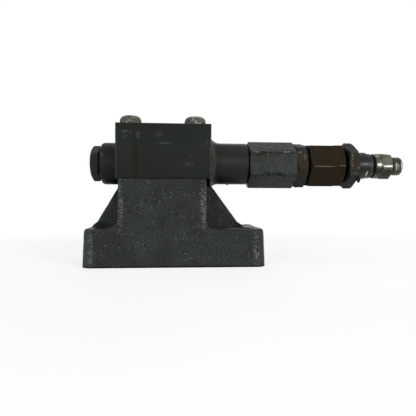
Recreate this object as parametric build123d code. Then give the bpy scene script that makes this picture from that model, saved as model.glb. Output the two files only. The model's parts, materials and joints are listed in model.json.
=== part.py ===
from build123d import *
from math import cos, pi, radians, sin, sqrt, tan
import os

# Ripper control valve: a spool valve body bolted on a cast foot, with a pilot line fitted to its right end.
# The valve's bore runs along X, Y is the depth and Z is up.
# The origin is the centre of the foot's bottom face.

# Foot and column of the casting
foot_length = 152.0
foot_depth = 62.0
foot_height = 32.0
foot_end_draft = 1.4
foot_corner = 8.0
foot_notch_radius = 8.0
foot_notch_depth = 5.0
foot_rear_setback = 3.5
column_width = 72.6
column_height = 41.0
column_shift = -10.2
column_edge = 3.0
column_foot_fillets = {-1: 9.0, 1: 6.0}

# Webs, by side: height up the column, lip at the top, reach along the foot and flare of the toe
gusset_thickness = 14.0
gusset_rise = {-1: 39.2, 1: 37.2}
gusset_lip = {-1: 0.0, 1: 4.7}
gusset_reach = {-1: 23.4, 1: 31.9}
gusset_flare = {-1: 1.5, 1: 1.5}
gusset_flare_height = 4.2
gusset_head = 3.2

# Bolt holes of the foot
foot_bolt_hole = 13.5
foot_bolt_end_inset = 16.0
foot_bolt_side_inset = 12.0
spotface_diameter = 22.0
spotface_depth = 0.6

# Valve body: block, plug boss and neck, one casting
body_width = 78.0
body_depth = 60.0
body_height = 45.0
body_shift = 0.9
body_edge = 0.8
bore_height = 14.0
boss_diameter = 36.4
boss_length = 15.5
boss_rim = 3.0
neck_length = 33.6
neck_rise = 0.7
neck_root = 3.5
neck_rim = 1.0

# Spool bore, its galleries and the ports under them
spool_diameter = 16.0
spool_clearance = 0.02
spool_stroke = 6.0
port_pitch = 17.0
port_diameter = 10.0
gallery_diameter = 21.0
gallery_width = 6.0
port_seal_diameter = 15.0
port_seal_section = 1.8

# Cap screws that hold the body on the column
screw_diameter = 12.0
screw_hole = 13.0
screw_head_diameter = 18.0
screw_head_height = 12.0
screw_head_proud = 7.2
screw_head_round = 2.4
screw_socket = 10.0
screw_socket_depth = 6.0
screw_pitch_x = 54.0
screw_pitch_y = 34.0
screw_grip = 20.0
screw_seat_clearance = 1.0
tapping_run_out = 4.0

# End plug, left
plug_hex = 27.0
plug_hex_length = 7.0
plug_thread = 22.0
plug_thread_length = 14.0
plug_gap = 1.5
plug_pocket_diameter = 15.6
plug_pocket_depth = 12.0
spring_chamber_diameter = 17.4
seal_section = 1.9

# Return spring and its seat
spring_wire = 2.0
spring_mean_diameter = 12.0
spring_turns = 6
spring_runs = 14
spring_seat_diameter = 16.8
spring_seat_thickness = 2.5
spring_spigot_length = 4.0
spring_side_clearance = 0.4

# Spool lands
spool_groove_diameter = 10.0
spool_tail = 11.0
spool_end_chamfer = 0.6

# Piston housing: grey hexagon on the neck
wrench_size = 36.0
housing_hex_length = 41.3
housing_gap = 0.9
housing_thread = 27.0
housing_thread_length = 17.5
thread_clearance = 0.1
thread_run_out = 1.0
piston_diameter = 20.0
piston_clearance = 0.03
piston_length = 14.0
piston_rod_diameter = 9.0
collar_overlap = 2.6

# Pilot connector: brown hexagon, threaded at both ends
connector_hex_length = 23.1
connector_reach = 16.4
connector_bore = 9.0
connector_thread = 30.0
connector_thread_length = 18.0
connector_gap = 2.2
housing_nut_thickness = 9.4
connector_nut_thickness = 8.1
cone_half_angle = 12.0
cone_mouth = 22.4

# Union nut and the shank that it holds
union_gap = 3.7
union_nut_length = 10.7
union_nut_taper = 3.6
union_nut_face = 33.0
shank_diameter = 23.5
shank_length = 9.5
shank_tip_diameter = 22.3
shank_tip_length = 5.5
shank_collar_diameter = 28.4
shank_collar_width = 1.6
shank_nose = 8.0
shank_bore = 10.0
shank_fit = 0.05

# Plated pilot adapter at the far right
adapter_thread = 16.66
adapter_thread_depth = 12.0
adapter_gap = 1.7
adapter_collar_diameter = 23.0
adapter_collar_width = 5.3
adapter_hex = 22.0
adapter_hex_length = 10.0
adapter_groove_diameter = 14.6
adapter_groove_width = 1.5
adapter_end_length = 9.5
adapter_bore = 6.0
adapter_mouth = 11.0
adapter_seal_diameter = 21.0

# How far each hexagon is turned from having a flat square to the front
housing_turn = 0.0
housing_nut_turn = -15.0
connector_turn = -24.0
connector_nut_turn = -26.0
union_turn = 0.0
adapter_turn = -26.0
hex_chamfer_angle = 30.0

# Heights
column_top = foot_height + column_height
body_top = column_top + body_height
axis_z = column_top + bore_height

# Places along the bore, left to right
body_x = column_shift + body_shift
body_left = body_x - body_width / 2
body_right = body_x + body_width / 2
boss_end = body_left - boss_length
plug_inner = boss_end + plug_thread_length
plug_pocket_end = plug_inner - plug_pocket_depth
seat_left = plug_inner + 9.0
spool_left = seat_left + spring_seat_thickness
neck_end = body_right + neck_length
spool_right = body_right + spool_tail
housing_left = neck_end + housing_gap
housing_right = housing_left + housing_hex_length
spigot_left = neck_end - housing_thread_length
connector_left = housing_right - connector_reach
connector_hex_left = housing_right + housing_nut_thickness + connector_gap
connector_hex_right = connector_hex_left + connector_hex_length
connector_end = connector_hex_right + connector_thread_length
union_left = connector_hex_right + connector_nut_thickness + union_gap
union_right = union_left + union_nut_length
shank_step = union_right + shank_length
shank_end = shank_step + shank_tip_length
adapter_collar_left = shank_end + adapter_gap
adapter_hex_left = adapter_collar_left + adapter_collar_width
adapter_hex_right = adapter_hex_left + adapter_hex_length
adapter_thread_left = adapter_hex_right + adapter_groove_width
adapter_end = adapter_thread_left + adapter_end_length

bore_axis = Axis((0, 0, axis_z), (1, 0, 0))


def turned(*outline):
    """A solid turned about the bore axis; the outline is (x, radius) points, closed by itself."""
    points = [(x, 0, axis_z + radius) for x, radius in outline]
    return revolve(make_face(Polyline(*points, close=True)), bore_axis, 360)


def bar(left, right, diameter):
    """A plain round length on the bore axis."""
    return turned((left, 0), (left, diameter / 2), (right, diameter / 2), (right, 0))


def chamfered_bar(left, right, diameter, chamfer):
    """A round length with both edges broken."""
    radius = diameter / 2
    return turned(
        (left, 0),
        (left, radius - chamfer),
        (left + chamfer, radius),
        (right - chamfer, radius),
        (right, radius - chamfer),
        (right, 0),
    )


def hex_length(left, right, across_flats, turn, face_left=None, face_right=None, taper_right=None):
    """A hexagon along the bore whose ends are turned to round faces."""
    corner = across_flats / sqrt(3)
    face_left = face_left or across_flats * 0.95
    face_right = face_right or across_flats * 0.95
    slope = tan(radians(hex_chamfer_angle))
    run_left = (corner - face_left / 2) * slope
    run_right = taper_right or (corner - face_right / 2) * slope
    prism = Plane((left, 0, axis_z), x_dir=(0, 1, 0), z_dir=(1, 0, 0)) * RegularPolygon(
        radius=corner, side_count=6, rotation=30 + turn
    )
    envelope = turned(
        (left, 0),
        (left, face_left / 2),
        (left + run_left, corner),
        (right - run_right, corner),
        (right, face_right / 2),
        (right, 0),
    )
    return extrude(prism, amount=right - left) & envelope


def ring(middle, inner_diameter, section):
    """A square-section seal on the bore axis, lying on its inner diameter."""
    left = middle - section / 2
    right = middle + section / 2
    inner = inner_diameter / 2
    return turned((left, inner), (left, inner + section), (right, inner + section), (right, inner))


def port_places():
    """The three ports, from the left: return, cylinder and pressure."""
    return [column_shift + port_pitch * step for step in (-1, 0, 1)]


def screw_places():
    """The four cap screws, on a rectangle about the column's middle."""
    return [
        (column_shift + side * screw_pitch_x / 2, depth * screw_pitch_y / 2)
        for side in (-1, 1)
        for depth in (-1, 1)
    ]


def foot_bolt_places():
    """The four bolt holes near the foot's corners."""
    across = foot_length / 2 - foot_bolt_end_inset
    deep = foot_depth / 2 - foot_bolt_side_inset
    return [(side * across, depth * deep) for side in (-1, 1) for depth in (-1, 1)]


def upright(x, y, bottom, top, diameter):
    """A round length standing upright."""
    return Pos(x, y, (bottom + top) / 2) * Cylinder(diameter / 2, top - bottom)


def foot_and_column():
    """The inverted T that the front of the casting shows, with its edges rounded."""
    half = foot_length / 2
    left = column_shift - column_width / 2
    right = column_shift + column_width / 2
    outline = Polyline(
        (-half, 0, 0),
        (half, 0, 0),
        (half - foot_end_draft, 0, foot_height),
        (right, 0, foot_height),
        (right, 0, column_top),
        (left, 0, column_top),
        (left, 0, foot_height),
        (-half + foot_end_draft, 0, foot_height),
        close=True,
    )
    block = extrude(make_face(outline), amount=foot_depth / 2, dir=(0, 1, 0), both=True)
    for side, radius in column_foot_fillets.items():
        corner = [e for e in block.edges().filter_by(Axis.Y) if is_inner_corner(e, side)]
        block = fillet(corner, radius)
    ends = [e for e in block.edges() if is_foot_end(e)]
    block = fillet(ends, foot_corner)
    sides = [e for e in block.edges().filter_by(Axis.Z) if e.center().Z > foot_height + foot_corner]
    return fillet(sides, column_edge)


def is_inner_corner(edge, side):
    """The corner where the column meets the foot, on one side."""
    middle = edge.center()
    root = column_shift + side * column_width / 2
    return abs(middle.Z - foot_height) < 0.01 and abs(middle.X - root) < 0.01


def is_foot_end(edge):
    """The four leaning edges at the foot's corners."""
    middle = edge.center()
    box = edge.bounding_box()
    leans = box.size.Z > foot_height * 0.9 and box.size.Y < 0.01
    return leans and abs(middle.X) > foot_length / 2 - foot_end_draft - 0.01


def gusset(side):
    """A web from the column down to the foot's end, thin and set back from both faces."""
    root = column_shift + side * column_width / 2
    tip = root + side * gusset_reach[side]
    flare = side * gusset_flare[side]
    top = foot_height + gusset_rise[side]
    lean = side * (gusset_reach[side] - gusset_lip[side]) * gusset_flare_height / gusset_rise[side]
    outline = Polyline(
        (root - side * column_edge, 0, top),
        (root + side * gusset_lip[side], 0, top),
        (tip - lean, 0, foot_height + gusset_flare_height),
        (tip + flare * 0.5, 0, foot_height + gusset_flare_height * 0.5),
        (tip + flare, 0, foot_height),
        (tip, 0, foot_height - gusset_flare_height),
        (root - side * column_edge, 0, foot_height - gusset_flare_height),
        close=True,
    )
    return extrude(make_face(outline), amount=gusset_thickness / 2, dir=(0, 1, 0), both=True)


def gusset_head_block():
    """The right web's head, which fills the corner under the valve body."""
    depth = column_top - foot_height
    middle = column_shift + column_width / 2
    return Pos(middle, 0, column_top - depth / 2) * Box(2 * gusset_head, gusset_thickness, depth)


def foot_rear_step():
    """Material missing at the right end behind the front lug, where the foot is set back."""
    face = foot_length / 2 - foot_rear_setback
    deep = foot_depth / 2 + foot_notch_radius
    return Pos(face + foot_length / 2, deep / 2 - foot_notch_radius / 2, 0) * Box(
        foot_length, deep + foot_notch_radius, 3 * foot_height
    )


def foot_notches():
    """The hollow in each end of the foot, between its two bolt lugs."""
    reach = foot_length / 2 - foot_notch_depth + foot_notch_radius
    cut = Part()
    for side in (-1, 1):
        cut += upright(side * reach, 0, -1, foot_height + foot_notch_depth, 2 * foot_notch_radius)
    return cut


def casting_holes():
    """Ports through the casting, tapped screw holes in its top and bolt holes in its foot."""
    cut = Part()
    for x in port_places():
        cut += upright(x, 0, -1, column_top + 1, port_diameter)
        cut += upright(x, 0, -1, port_seal_section, port_seal_diameter)
    for x, y in screw_places():
        cut += upright(x, y, column_top - screw_grip - tapping_run_out, column_top + 1, screw_diameter)
    for x, y in foot_bolt_places():
        cut += upright(x, y, -1, foot_height + 1, foot_bolt_hole)
        cut += upright(x, y, foot_height - spotface_depth, foot_height + 1, spotface_diameter)
    return cut


def base_casting():
    """Foot, column and webs in one rough casting."""
    cast = foot_and_column() + gusset(-1) + gusset(1) + gusset_head_block()
    return cast - foot_rear_step() - foot_notches() - casting_holes()


def body_outside():
    """Block with the plug boss on its left and the neck on its right."""
    block = Pos(body_x, 0, column_top + body_height / 2) * Box(body_width, body_depth, body_height)
    block = chamfer(block.edges().filter_by(Axis.Z), body_edge)
    radius = boss_diameter / 2
    boss = turned(
        (body_left, 0),
        (body_left, radius),
        (boss_end + boss_rim, radius),
        (boss_end + boss_rim * 0.3, radius - boss_rim * 0.3),
        (boss_end, radius - boss_rim),
        (boss_end, 0),
    )
    neck = turned(
        (body_right, 0),
        (body_right, radius),
        (neck_end - neck_rim, radius),
        (neck_end, radius - neck_rim),
        (neck_end, 0),
    )
    root = turned(
        (body_right, 0),
        (body_right, radius + neck_root),
        (body_right + neck_root * 0.3, radius + neck_root * 0.3),
        (body_right + neck_root, radius),
        (body_right + neck_root, 0),
    )
    above = Pos(body_right + neck_root, 0, column_top + body_height / 2) * Box(
        2 * neck_root, body_depth, body_height
    )
    return block + boss + Pos(0, 0, neck_rise) * neck + (Pos(0, 0, neck_rise) * root & above)


def body_bore():
    """The stepped bore from the plug's thread to the housing's thread, with three galleries."""
    cut = bar(boss_end - 1, plug_inner + 1, plug_thread)
    cut += bar(boss_end, spool_left + 1, spring_chamber_diameter)
    cut += bar(boss_end, spool_right - 2, spool_diameter)
    cut += bar(spool_right - 3, spigot_left + 1, piston_diameter)
    cut += bar(spigot_left - thread_run_out, neck_end + 1, housing_thread)
    for x in port_places():
        cut += bar(x - gallery_width / 2, x + gallery_width / 2, gallery_diameter)
        cut += upright(x, 0, column_top - 1, axis_z, port_diameter)
        cut += upright(x, 0, column_top - 1, column_top + port_seal_section, port_seal_diameter)
    return cut


def body_screw_holes():
    """Clearance holes for the cap screws, counterbored so that the heads stand partly proud."""
    cut = Part()
    seat = body_top - (screw_head_height - screw_head_proud)
    for x, y in screw_places():
        cut += upright(x, y, column_top - 1, body_top + 1, screw_hole)
        cut += upright(x, y, seat, body_top + 1, screw_head_diameter + screw_seat_clearance)
    return cut


def valve_body():
    """The valve body with its bores and holes."""
    return body_outside() - body_bore() - body_screw_holes()


def cap_screw(x, y):
    """One socket head cap screw, seated in its counterbore."""
    seat = body_top - (screw_head_height - screw_head_proud)
    head = upright(x, y, seat, seat + screw_head_height, screw_head_diameter)
    head = fillet(head.edges().group_by(Axis.Z)[-1], screw_head_round)
    shank = upright(x, y, column_top - screw_grip, seat, screw_diameter)
    shank = chamfer(shank.edges().group_by(Axis.Z)[0], screw_diameter / 12)
    key = Pos(x, y, seat + screw_head_height - screw_socket_depth) * RegularPolygon(
        radius=screw_socket / sqrt(3), side_count=6
    )
    return head + shank - extrude(key, amount=screw_socket_depth)


def cap_screws():
    """The four screws as a group."""
    return Compound(children=[cap_screw(x, y) for x, y in screw_places()])


def port_seals():
    """The three face seals between the body and the column."""
    top = column_top + port_seal_section
    inner = port_seal_diameter - 2 * port_seal_section
    return Compound(
        children=[
            upright(x, 0, column_top, top, port_seal_diameter) - upright(x, 0, column_top, top, inner)
            for x in port_places()
        ]
    )


def end_plug():
    """Hexagon plug whose hollow inner end holds the return spring."""
    hex_left = boss_end - plug_gap - plug_hex_length
    head = hex_length(hex_left, boss_end - plug_gap, plug_hex, 0)
    head += bar(boss_end - plug_gap, boss_end, plug_thread)
    thread = chamfered_bar(boss_end - plug_gap, plug_inner, plug_thread - 2 * thread_clearance, thread_run_out)
    return head + thread - bar(plug_pocket_end, plug_inner + 1, plug_pocket_diameter)


def plug_seal():
    """Flat ring between the plug's head and the boss."""
    return bar(boss_end - plug_gap, boss_end, plug_hex * 0.96) - bar(
        boss_end - plug_gap - 1, boss_end + 1, plug_thread
    )


def return_spring():
    """Coil spring between the plug's pocket and the spring seat, in short straight runs round the coil."""
    start = plug_pocket_end + spring_wire / 2
    length = seat_left - plug_pocket_end - spring_wire
    radius = spring_mean_diameter / 2
    steps = spring_turns * spring_runs
    turn = 2 * pi / spring_runs
    path = Polyline(
        *[
            (start + length * i / steps, radius * sin(i * turn), axis_z + radius * cos(i * turn))
            for i in range(steps + 1)
        ]
    )
    wire = Plane(path @ 0, z_dir=path % 0) * RegularPolygon(radius=spring_wire / 2, side_count=6)
    return sweep(wire, path=path, transition=Transition.RIGHT)


def spring_seat():
    """Cup that carries the spring's thrust to the spool."""
    spigot = spring_mean_diameter - spring_wire - 2 * spring_side_clearance
    plate = chamfered_bar(seat_left, spool_left, spring_seat_diameter, spool_end_chamfer)
    return plate + bar(seat_left - spring_spigot_length, seat_left, spigot)


def spool():
    """Spool with lands over the galleries and a tail that meets the piston rod."""
    radius = spool_diameter / 2 - spool_clearance
    groove = spool_groove_diameter / 2
    left_port, middle_port, right_port = port_places()
    half = gallery_width / 2
    return turned(
        (spool_left, 0),
        (spool_left, radius - spool_end_chamfer),
        (spool_left + spool_end_chamfer, radius),
        (left_port - half, radius),
        (left_port - half, groove),
        (middle_port - half, groove),
        (middle_port - half, radius),
        (middle_port + half + spool_stroke, radius),
        (middle_port + half + spool_stroke, groove),
        (right_port + half + spool_stroke, groove),
        (right_port + half + spool_stroke, radius),
        (spool_right - spool_end_chamfer, radius),
        (spool_right, radius - spool_end_chamfer),
        (spool_right, 0),
    )


def piston_housing():
    """Grey hexagon screwed into the neck, bored for the pilot piston and tapped for the connector."""
    groove = housing_thread - 2 * seal_section
    solid = hex_length(housing_left, housing_right, wrench_size, housing_turn)
    solid += bar(neck_end, housing_left + 1, housing_thread + 2 * collar_overlap)
    solid += bar(neck_end - 1.5 * seal_section, neck_end + 1, groove)
    solid += chamfered_bar(
        spigot_left,
        neck_end - 1.5 * seal_section,
        housing_thread - 2 * thread_clearance,
        thread_run_out,
    )
    solid -= bar(spigot_left - 1, connector_left + 1, piston_diameter)
    solid -= bar(connector_left - thread_run_out, housing_right + 1, housing_thread)
    return solid - bar(housing_right - seal_section, housing_right + 1, housing_thread + 2 * seal_section)


def housing_seal():
    """Seal in the groove behind the housing's thread."""
    return ring(neck_end - 0.75 * seal_section, housing_thread - 2 * seal_section, seal_section)


def pilot_piston():
    """Piston with the rod that pushes the spool."""
    radius = piston_diameter / 2 - piston_clearance
    rod = piston_rod_diameter / 2
    left = connector_left - piston_length
    middle = connector_left - piston_length / 2
    depth = radius - seal_section
    return turned(
        (spool_right, 0),
        (spool_right, rod - spool_end_chamfer),
        (spool_right + spool_end_chamfer, rod),
        (left, rod),
        (left, radius - spool_end_chamfer),
        (left + spool_end_chamfer, radius),
        (middle - seal_section * 0.65, radius),
        (middle - seal_section * 0.65, depth),
        (middle + seal_section * 0.65, depth),
        (middle + seal_section * 0.65, radius),
        (connector_left - spool_end_chamfer, radius),
        (connector_left, radius - spool_end_chamfer),
        (connector_left, 0),
    )


def piston_seal():
    """Seal in the piston's groove."""
    inner = piston_diameter - 2 * piston_clearance - 2 * seal_section
    return ring(connector_left - piston_length / 2, inner, seal_section)


def lock_nut(left, thickness, bore, turn):
    """Thin hexagon nut."""
    nut = hex_length(left, left + thickness, wrench_size, turn)
    return nut - bar(left - 1, left + thickness + 1, bore)


def pilot_connector():
    """Brown hexagon with a thread at each end, bored through to a cone for the shank."""
    solid = hex_length(connector_hex_left, connector_hex_right, wrench_size, connector_turn)
    solid += chamfered_bar(
        connector_left,
        connector_hex_left + thread_run_out,
        housing_thread - 2 * thread_clearance,
        thread_run_out,
    )
    solid += chamfered_bar(
        connector_hex_right - thread_run_out,
        connector_end,
        connector_thread - 2 * thread_clearance,
        thread_run_out,
    )
    narrow = cone_mouth / 2 - tan(radians(cone_half_angle)) * (shank_nose + 2)
    solid -= turned(
        (connector_end + 1, 0),
        (connector_end + 1, cone_mouth / 2),
        (connector_end, cone_mouth / 2),
        (connector_end - shank_nose - 2, narrow),
        (connector_end - shank_nose - 2, 0),
    )
    return solid - bar(connector_left - 1, connector_end, connector_bore)


def connector_seal():
    """Seal in the housing's mouth, under the lock nut."""
    return ring(housing_right - seal_section / 2, housing_thread, seal_section)


def shank_cone(x):
    """Radius of the shank's nose at a place along it."""
    return cone_mouth / 2 - shank_fit - tan(radians(cone_half_angle)) * (connector_end - x)


def union_nut():
    """Union nut, with a long taper towards the shank."""
    nut = hex_length(
        union_left,
        union_right,
        wrench_size,
        union_turn,
        face_right=union_nut_face,
        taper_right=union_nut_taper,
    )
    shoulder = connector_end + shank_fit + shank_collar_width
    drop = (shank_collar_diameter - shank_diameter) / 2
    nut -= turned(
        (union_left - 1, 0),
        (union_left - 1, connector_thread / 2),
        (connector_end + shank_fit, connector_thread / 2),
        (shoulder, shank_collar_diameter / 2 + shank_fit),
        (shoulder + drop, shank_diameter / 2 + shank_fit),
        (union_right + 1, shank_diameter / 2 + shank_fit),
        (union_right + 1, 0),
    )
    return nut


def pilot_shank():
    """Turned shank with a cone nose and collar under the union nut, tapped at its right end."""
    nose = connector_end - shank_nose
    collar = connector_end + shank_fit
    shoulder = collar + shank_collar_width
    drop = (shank_collar_diameter - shank_diameter) / 2
    groove_middle = connector_end - shank_nose / 2
    groove = shank_cone(groove_middle - seal_section) - seal_section * 0.8
    tip = shank_tip_diameter / 2
    solid = turned(
        (nose, 0),
        (nose, shank_cone(nose)),
        (groove_middle - seal_section * 0.7, shank_cone(groove_middle - seal_section * 0.7)),
        (groove_middle - seal_section * 0.7, groove),
        (groove_middle + seal_section * 0.7, groove),
        (groove_middle + seal_section * 0.7, shank_cone(groove_middle + seal_section * 0.7)),
        (collar, shank_cone(collar)),
        (collar, shank_collar_diameter / 2),
        (shoulder, shank_collar_diameter / 2),
        (shoulder + drop, shank_diameter / 2),
        (shank_step, shank_diameter / 2),
        (shank_step, tip),
        (shank_end - spool_end_chamfer, tip),
        (shank_end, tip - spool_end_chamfer),
        (shank_end, 0),
    )
    solid -= bar(nose - 1, shank_end, shank_bore)
    return solid - bar(shank_end - adapter_thread_depth - thread_run_out, shank_end + 1, adapter_thread)


def shank_seal():
    """Seal in the groove of the shank's nose."""
    middle = connector_end - shank_nose / 2
    groove = shank_cone(middle - seal_section) - seal_section * 0.8
    section = seal_section * 0.8
    return ring(middle, 2 * groove, section)


def adapter_seal():
    """Black ring between the shank and the adapter's collar."""
    return bar(shank_end, adapter_collar_left, adapter_seal_diameter) - bar(
        shank_end - 1, adapter_collar_left + 1, adapter_thread
    )


def pilot_adapter():
    """Plated adapter: thread, collar, hexagon and the threaded end for the pilot hose."""
    solid = chamfered_bar(
        shank_end - adapter_thread_depth,
        adapter_collar_left + thread_run_out,
        adapter_thread - 2 * thread_clearance,
        thread_run_out,
    )
    solid += chamfered_bar(
        adapter_collar_left, adapter_hex_left + 1, adapter_collar_diameter, spool_end_chamfer
    )
    solid += hex_length(adapter_hex_left, adapter_hex_right, adapter_hex, adapter_turn)
    solid += bar(adapter_hex_right - 1, adapter_end - 1, adapter_groove_diameter)
    solid += chamfered_bar(adapter_thread_left, adapter_end, adapter_thread, thread_run_out)
    solid -= bar(shank_end - adapter_thread_depth - 1, adapter_end + 1, adapter_bore)
    return solid - turned(
        (adapter_end + 1, 0),
        (adapter_end + 1, adapter_mouth / 2),
        (adapter_end, adapter_mouth / 2),
        (adapter_end - (adapter_mouth - adapter_bore) / 2 * sqrt(3), adapter_bore / 2),
        (adapter_end - (adapter_mouth - adapter_bore) / 2 * sqrt(3), 0),
    )


pieces = {
    "base_casting": base_casting(),
    "valve_body": valve_body(),
    "cap_screws": cap_screws(),
    "port_seals": port_seals(),
    "end_plug": end_plug(),
    "plug_seal": plug_seal(),
    "return_spring": return_spring(),
    "spring_seat": spring_seat(),
    "spool": spool(),
    "piston_housing": piston_housing(),
    "housing_seal": housing_seal(),
    "pilot_piston": pilot_piston(),
    "piston_seal": piston_seal(),
    "housing_lock_nut": lock_nut(
        housing_right, housing_nut_thickness, housing_thread, housing_nut_turn
    ),
    "connector_seal": connector_seal(),
    "pilot_connector": pilot_connector(),
    "connector_lock_nut": lock_nut(
        connector_hex_right, connector_nut_thickness, connector_thread, connector_nut_turn
    ),
    "union_nut": union_nut(),
    "pilot_shank": pilot_shank(),
    "shank_seal": shank_seal(),
    "adapter_seal": adapter_seal(),
    "pilot_adapter": pilot_adapter(),
}

os.makedirs("parts", exist_ok=True)
for name, piece in pieces.items():
    export_step(piece, f"parts/{name}.step")
    print(name, round(piece.volume), piece.bounding_box().min, piece.bounding_box().max)
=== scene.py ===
"""Dresses the ripper control valve: casting, body, screws and pilot fittings, in a plain studio."""

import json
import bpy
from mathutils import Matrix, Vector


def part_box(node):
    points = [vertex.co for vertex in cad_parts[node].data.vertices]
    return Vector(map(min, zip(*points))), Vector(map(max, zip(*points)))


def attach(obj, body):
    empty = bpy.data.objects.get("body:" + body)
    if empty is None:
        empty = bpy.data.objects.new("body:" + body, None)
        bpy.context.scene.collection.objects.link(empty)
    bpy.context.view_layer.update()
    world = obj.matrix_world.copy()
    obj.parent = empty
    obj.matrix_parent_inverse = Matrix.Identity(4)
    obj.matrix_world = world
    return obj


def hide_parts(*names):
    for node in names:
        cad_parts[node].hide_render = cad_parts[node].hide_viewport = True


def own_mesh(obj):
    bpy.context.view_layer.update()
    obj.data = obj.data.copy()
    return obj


bl_info = {
    "name": "Ripper control valve",
    "version": (1, 0, 0),
    "blender": (4, 5, 0),
    "location": "3D View > Sidebar > Valve",
    "description": "Dresses the valve with worn paint, rust and plate, and sets up its studio",
    "category": "Object",
}

from math import cos, pi, radians, sin, sqrt, tan

import bmesh
import bpy
import numpy as np
from bpy.props import FloatProperty, FloatVectorProperty, PointerProperty
from mathutils import Matrix, Vector, noise

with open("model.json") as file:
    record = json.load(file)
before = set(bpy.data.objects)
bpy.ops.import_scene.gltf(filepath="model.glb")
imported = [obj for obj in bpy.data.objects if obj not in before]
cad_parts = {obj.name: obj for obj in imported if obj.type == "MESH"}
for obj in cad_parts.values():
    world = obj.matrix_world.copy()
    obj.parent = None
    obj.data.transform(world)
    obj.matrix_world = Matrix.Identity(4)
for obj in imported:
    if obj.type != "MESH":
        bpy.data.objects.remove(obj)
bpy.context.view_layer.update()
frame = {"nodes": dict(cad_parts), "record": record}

MM = 0.001

# Height of the bore's axis
AXIS_Z = 87 * MM

# Sizes across the flats
WRENCH = 36 * MM
PLUG_WRENCH = 27 * MM
ADAPTER_WRENCH = 22 * MM
HEAD_SOCKET = 10 * MM

# A hexagon's outline stands this far past its corners before the flats cut it
CORNER_SPARE = 0.2 * MM

# The flats cut only what lies outside this share of the wrench size
FLATS_FROM = 0.44

# How far each hexagon is turned from having a flat square to the front, in degrees
HOUSING_TURN = 0
HOUSING_NUT_TURN = 15
CONNECTOR_TURN = 24
CONNECTOR_NUT_TURN = 26
UNION_TURN = 0
ADAPTER_TURN = 19


def linear(code):
    """A colour as sRGB hex turned to the linear values that shaders use."""
    channels = [int(code[i : i + 2], 16) / 255 for i in (1, 3, 5)]
    return tuple(c / 12.92 if c <= 0.04045 else ((c + 0.055) / 1.055) ** 2.4 for c in channels)


def colour(name, description, code):
    """A colour property whose default is an sRGB hex value."""
    return FloatVectorProperty(
        name=name, description=description, subtype="COLOR", size=3, min=0, max=1, default=linear(code)
    )


def length(name, description, millimetres):
    """A length property whose default is in millimetres."""
    return FloatProperty(
        name=name, description=description, unit="LENGTH", subtype="DISTANCE", default=millimetres * MM
    )


class ValveColours(bpy.types.PropertyGroup):
    """Paint, rust and plate colours."""

    casting: colour("Casting", "Paint on the rough casting", "#292f2a")
    casting_dust: colour("Casting dust", "Dust and worn tips of the cast grain", "#5a635c")
    body: colour("Body", "Paint on the milled body", "#252a25")
    housing: colour("Housing", "Paint on the piston housing", "#333836")
    chip: colour("Chips", "Primer that shows where paint has chipped", "#8a8d80")
    stain: colour("Stain", "Brown run of rusty water", "#231d14")
    rust: colour("Rust", "Rust on the nuts", "#3a2f20")
    rust_dark: colour("Dark rust", "Old oily rust on the connector", "#281f13")
    oxide: colour("Black oxide", "Oiled black oxide of the shank", "#1c1f1d")
    plate: colour("Plate", "Dull nickel plate", "#63665a")
    screw: colour("Screw heads", "Weathered zinc on the screw heads", "#5d5f54")


class ValveSizes(bpy.types.PropertyGroup):
    """Small forms that are finer than the solids."""

    body_edge: length("Body edge", "Rounding of the milled block's edges", 0.5)
    hex_edge: length("Hexagon edge", "Rounding of the hexagons' edges", 0.14)
    cast_grain: length("Cast grain", "Size of the sand's grain in the casting", 1.3)
    connector_pitch: length("Connector pitch", "Thread pitch of the connector", 2.0)
    adapter_pitch: length("Adapter pitch", "Thread pitch of the pilot end", 1.337)


# Node trees


def add(tree, kind, values=None, links=None, **options):
    """A shader node with its options, socket values and incoming links."""
    made = tree.nodes.new(kind)
    for key, value in options.items():
        setattr(made, key, value)
    for key, value in (values or {}).items():
        made.inputs[key].default_value = value
    for key, socket in (links or {}).items():
        tree.links.new(socket, made.inputs[key])
    return made


def shade(code):
    """A shader's colour value from sRGB hex or from one of the panel's colours."""
    return (*(linear(code) if isinstance(code, str) else code), 1)


def seen_directly(tree):
    """A mask that is 1 where a thing is seen or mirrored, and 0 where it only lights others."""
    rays = add(tree, "ShaderNodeLightPath").outputs
    mask = rays["Is Camera Ray"]
    for way in ("Is Glossy Ray", "Is Transmission Ray"):
        mask = add(tree, "ShaderNodeMath", {}, {0: mask, 1: rays[way]}, operation="MAXIMUM").outputs[0]
    return mask


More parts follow.
